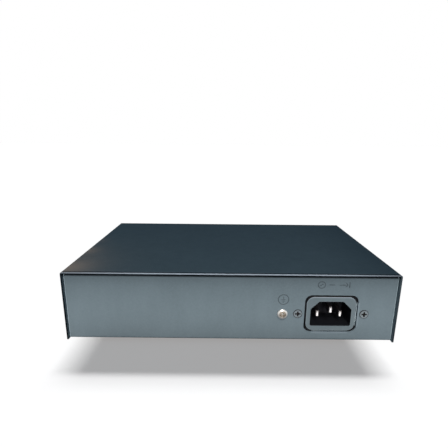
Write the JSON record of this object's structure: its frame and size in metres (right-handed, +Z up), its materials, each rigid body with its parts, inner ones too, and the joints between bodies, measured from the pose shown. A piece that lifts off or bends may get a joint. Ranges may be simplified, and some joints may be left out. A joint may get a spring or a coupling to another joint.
{
  "type": "poe switch",
  "caption": "Desktop network switch in a folded steel case, with network sockets and lamps in front and a mains inlet and ground screw behind.",
  "frame": {"origin": "middle of the footprint at the underside of the rubber feet", "axes": "+Z up; +Y out of the rear panel with the mains inlet, -Y out of the front panel with the ports; +X to the right seen from the front"},
  "size_m": [0.2, 0.1186, 0.046],
  "materials": {
    "case_paint": "fine-texture powder coat, semi-matt",
    "inlet_plastic": "moulded, fine matt texture",
    "black_screw": "black zinc",
    "bright_screw": "nickel plated",
    "bright_pin": "nickel-plated brass, polished",
    "foot_rubber": "matt rubber",
    "brass_terminal": "tinned brass",
    "steel_shell": "tin-plated spring steel",
    "port_plastic": "moulded glass-filled nylon",
    "gold_contact": "gold plated",
    "lamp_resin": "diffused resin",
    "board_laminate": "solder mask over glass laminate",
    "clear_sheet": "polycarbonate film",
    "chip_resin": "moulded epoxy",
    "sink_aluminium": "extruded, anodised",
    "ferrite": "sintered ferrite, matt",
    "enamel_wire": "enamelled copper under tape",
    "yellow_plastic": "moulded box",
    "header_plastic": "natural nylon",
    "can_sleeve": "shrink sleeve",
    "crystal_can": "drawn can",
    "lead_brown": "PVC insulation",
    "lead_blue": "PVC insulation",
    "lead_earth": "PVC insulation, green with a yellow stripe",
    "lead_red": "PVC insulation",
    "lead_black": "PVC insulation"
  },
  "bodies": {
    "root": {"ac_header": "header_plastic", "base_chassis": "case_paint", "board_capacitors": "crystal_can", "board_screws": "bright_screw", "board_standoffs": "bright_screw", "bridge_rectifier": "chip_resin", "buck_inductor": "ferrite", "bulk_capacitor": "can_sleeve", "chip_heatsink": "sink_aluminium", "cover_screws": "black_screw", "crystal": "crystal_can", "dc_input_header": "header_plastic", "dc_negative_lead": "lead_black", "dc_output_header": "header_plastic", "dc_positive_lead": "lead_red", "earth_lead": "lead_earth", "earth_ring_terminal": "brass_terminal", "emi_choke_core": "ferrite", "emi_choke_windings": "enamel_wire", "foot_front_left": "foot_rubber", "foot_front_right": "foot_rubber", "foot_rear_left": "foot_rubber", "foot_rear_right": "foot_rubber", "fuse": "chip_resin", "ground_nut": "bright_screw", "ground_screw": "bright_screw", "ground_washer": "bright_screw", "inlet_earth_pin": "bright_pin", "inlet_housing": "inlet_plastic", "inlet_line_pin": "bright_pin", "inlet_neutral_pin": "bright_pin", "inlet_nuts": "bright_screw", "inlet_screws": "black_screw", "insulation_sheet": "clear_sheet", "lamp_holders": "port_plastic", "line_lead": "lead_brown", "main_board": "board_laminate", "network_magnetics": "chip_resin", "neutral_lead": "lead_blue", "output_capacitors": "can_sleeve", "output_diode": "chip_resin", "port_bank_contacts": "gold_contact", "port_bank_housing": "port_plastic", "port_bank_shield": "steel_shell", "power_board": "board_laminate", "power_controllers": "chip_resin", "primary_heatsink": "sink_aluminium", "secondary_heatsink": "sink_aluminium", "spade_terminals": "lead_red", "status_lamps": "lamp_resin", "switch_chip": "chip_resin", "switching_transistor": "chip_resin", "top_cover": "case_paint", "transformer_core": "ferrite", "transformer_winding": "yellow_plastic", "uplink_contacts": "gold_contact", "uplink_housing": "port_plastic", "uplink_shield": "steel_shell", "x_capacitor": "yellow_plastic"}
  },
  "joints": []
}
